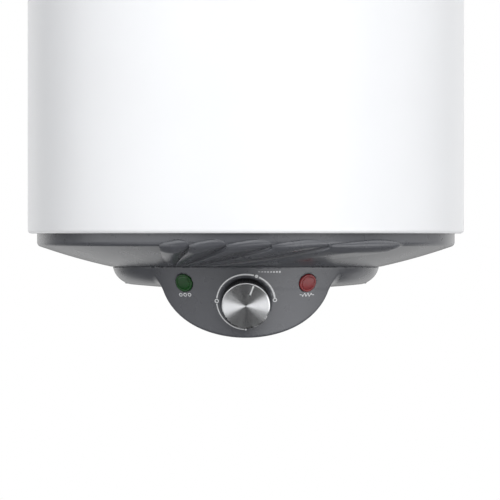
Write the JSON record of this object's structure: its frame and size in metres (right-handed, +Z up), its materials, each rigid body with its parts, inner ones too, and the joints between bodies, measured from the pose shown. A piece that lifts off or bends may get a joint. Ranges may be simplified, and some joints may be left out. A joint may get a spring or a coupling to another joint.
{
  "type": "tank water heater",
  "caption": "Upright wall-hung electric storage water heater: white cylindrical jacket over a dark dished underside with a round control cover, thermostat knob, pilot lamps and water pipes.",
  "frame": {"origin": "centre between the upper wall bracket's two hanging slots, on the wall plane", "axes": "+Z up along the tank, +Y into the wall, +X to the right of someone facing the heater; the front faces -Y"},
  "size_m": [0.4449, 0.459, 0.7997],
  "materials": {
    "jacket_paint": "semi-gloss white enamel",
    "top_paint": "semi-gloss white enamel",
    "dish_plastic": "smooth semi-gloss graphite grey",
    "cover_plastic": "smooth semi-gloss graphite grey",
    "foam": "rigid foam",
    "tank_enamel": "vitreous enamel",
    "zinc_steel": "zinc plated",
    "red_rubber": "moulded rubber",
    "copper": "drawn copper",
    "brass": "machined brass",
    "magnesium": "cast magnesium",
    "ivory_plastic": "moulded heat-resistant plastic",
    "black_plastic": "moulded black",
    "blue_plastic": "moulded blue",
    "red_plastic": "moulded red",
    "spun_metal": "spun, concentric grooves, anodised",
    "white_ink": "printed light grey",
    "green_lens": "translucent green",
    "red_lens": "translucent red",
    "bulb_glass": "neon lamp glass",
    "brown_sleeve": "wire insulation",
    "blue_sleeve": "wire insulation",
    "green_sleeve": "wire insulation",
    "black_sleeve": "wire insulation",
    "white_sleeve": "wire insulation"
  },
  "bodies": {
    "heater": {"outer_jacket": "jacket_paint", "top_cover": "top_paint", "bottom_dish": "dish_plastic", "control_cover": "cover_plastic", "foam_insulation": "foam", "inner_tank": "tank_enamel", "wall_bracket_upper": "zinc_steel", "wall_bracket_lower": "zinc_steel", "flange_ring": "zinc_steel", "flange_studs": "zinc_steel", "flange_gasket": "red_rubber", "flange_plate": "zinc_steel", "flange_nuts": "zinc_steel", "heating_element": "copper", "element_terminals": "ivory_plastic", "anode_rod": "magnesium", "anode_stud": "zinc_steel", "sensor_pocket": "brass", "sensor_bulbs": "copper", "capillary_tubes": "copper", "cold_inlet_pipe": "zinc_steel", "hot_outlet_pipe": "zinc_steel", "inlet_diffuser": "ivory_plastic", "outlet_riser": "zinc_steel", "cold_collar": "blue_plastic", "hot_collar": "red_plastic", "pipe_sockets": "zinc_steel", "component_bracket": "zinc_steel", "bracket_screws": "zinc_steel", "terminal_block": "ivory_plastic", "terminal_screws": "brass", "safety_cutout": "black_plastic", "thermostat_body": "ivory_plastic", "thermostat_screws": "zinc_steel", "dial_scale": "white_ink", "panel_symbols": "white_ink", "green_lens": "green_lens", "red_lens": "red_lens", "lamp_holders": "ivory_plastic", "lamp_bulbs": "bulb_glass", "lamp_clips": "zinc_steel", "live_wire": "brown_sleeve", "neutral_wire": "blue_sleeve", "earth_wire": "green_sleeve", "heater_wires": "black_sleeve", "lamp_wires": "white_sleeve", "cable_gland": "black_plastic", "gland_nut": "black_plastic", "cover_screws": "zinc_steel", "earth_screw": "brass"},
    "knob": {"knob_body": "black_plastic", "knob_cap": "spun_metal", "knob_pointer": "white_ink", "knob_clip": "zinc_steel", "thermostat_shaft": "zinc_steel"},
    "reset_button": {"reset_button": "red_plastic"}
  },
  "joints": [
    {"name": "thermostat_knob", "type": "hinge", "parent": "heater", "child": "knob", "pos_m": [0, -0.36024, -0.6593], "axis": [0, -0.9455, -0.3256], "range_deg": [-70, 200]},
    {"name": "reset_press", "type": "slide", "parent": "heater", "child": "reset_button", "axis": [0, 0, 1], "range_m": [0, 0.002], "stiffness_N_per_m": 400, "springref_m": -0.001}
  ]
}
